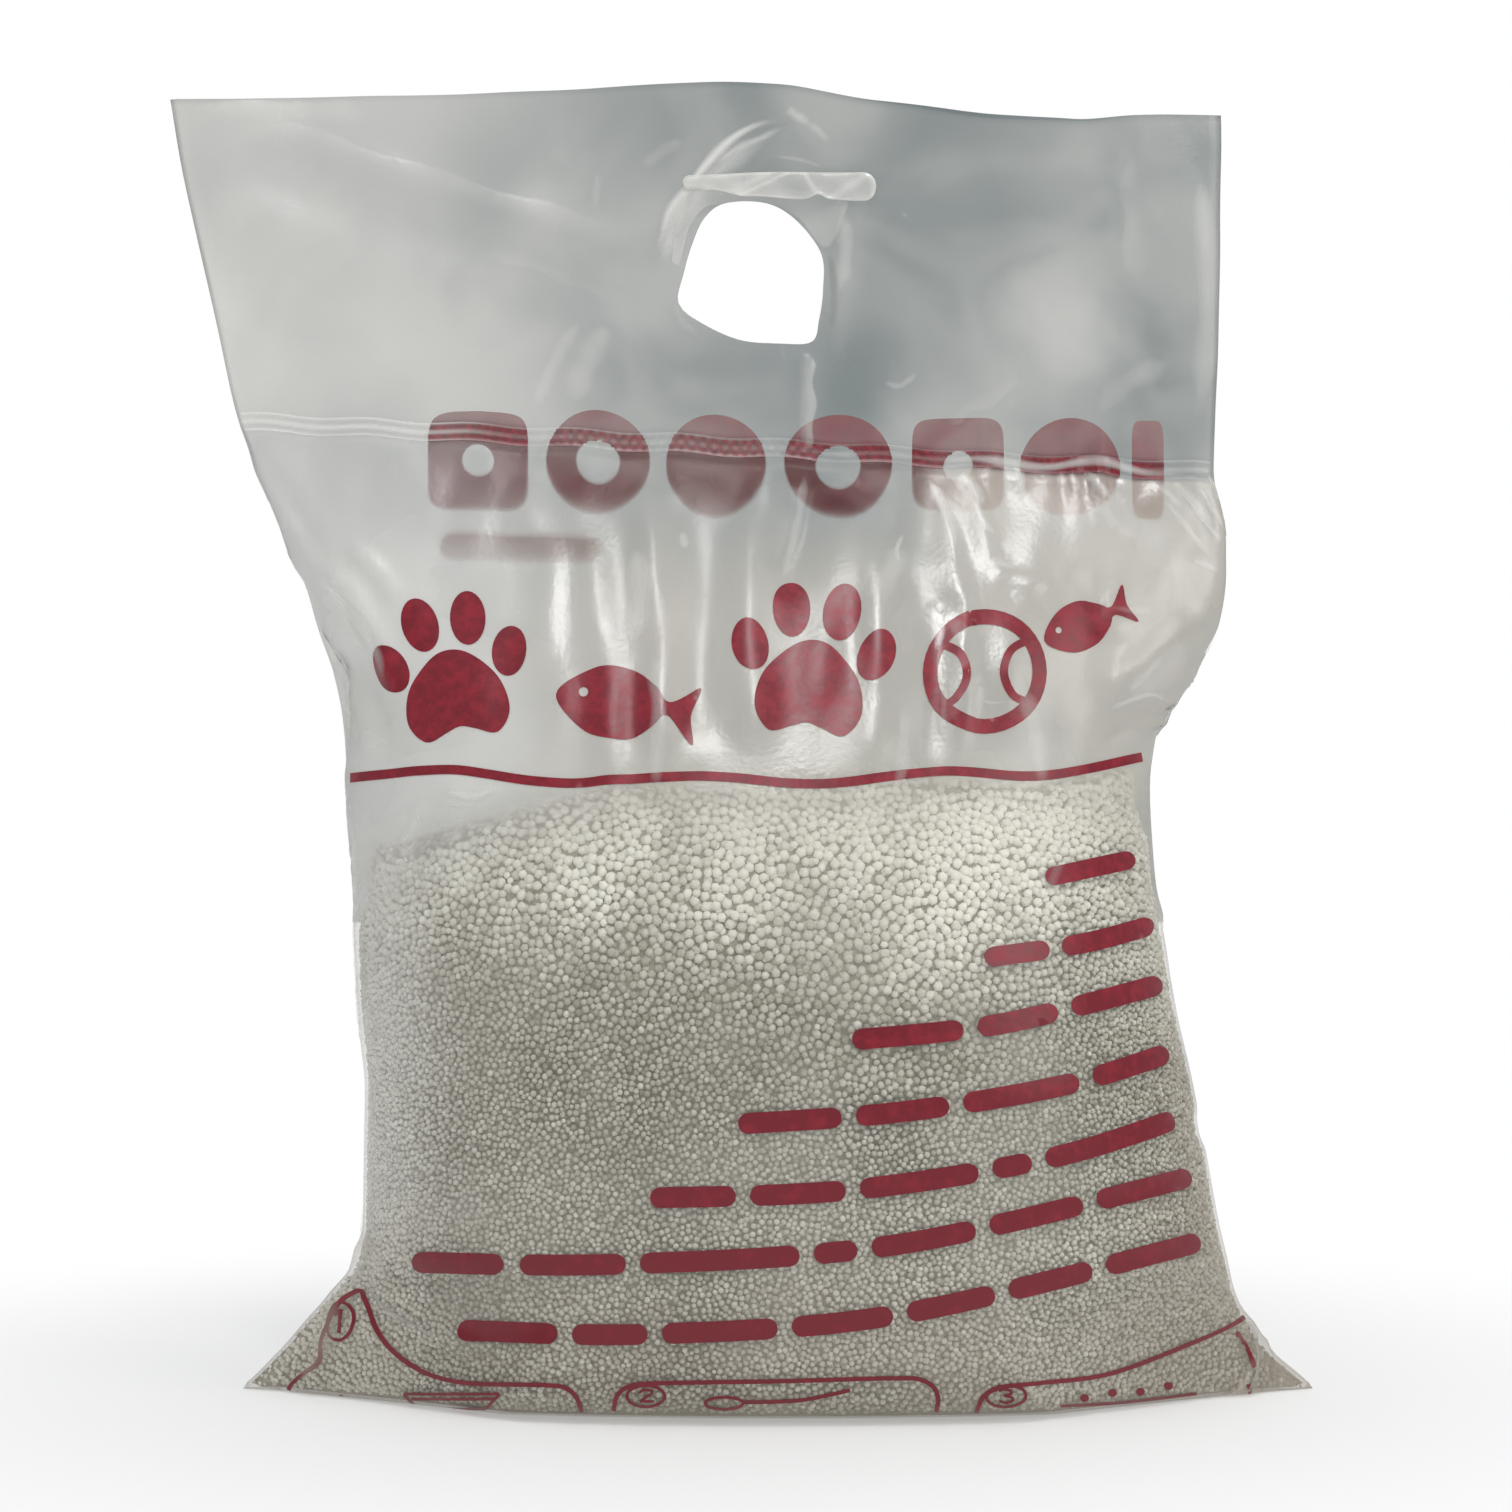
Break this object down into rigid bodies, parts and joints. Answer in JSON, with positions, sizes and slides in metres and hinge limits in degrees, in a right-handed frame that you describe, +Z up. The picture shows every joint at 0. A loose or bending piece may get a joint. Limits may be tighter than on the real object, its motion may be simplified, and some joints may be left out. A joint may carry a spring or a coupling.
{
  "type": "cat litter bag",
  "caption": "Clear plastic film bag with a die-cut carry hole and a heat seal under it, filled with granulated cat litter and standing on its folded base.",
  "frame": {"origin": "centre of the bounding box, at floor level under the base", "axes": "+Z up, the pack's height; +Y from the printed front to the back; +X to the right as seen from the front"},
  "size_m": [0.4766, 0.206, 0.544],
  "materials": {
    "clear_film": "gloss",
    "litter": "matte"
  },
  "bodies": {
    "root": {"film_bag": "clear_film", "litter_fill": "litter"}
  },
  "joints": []
}
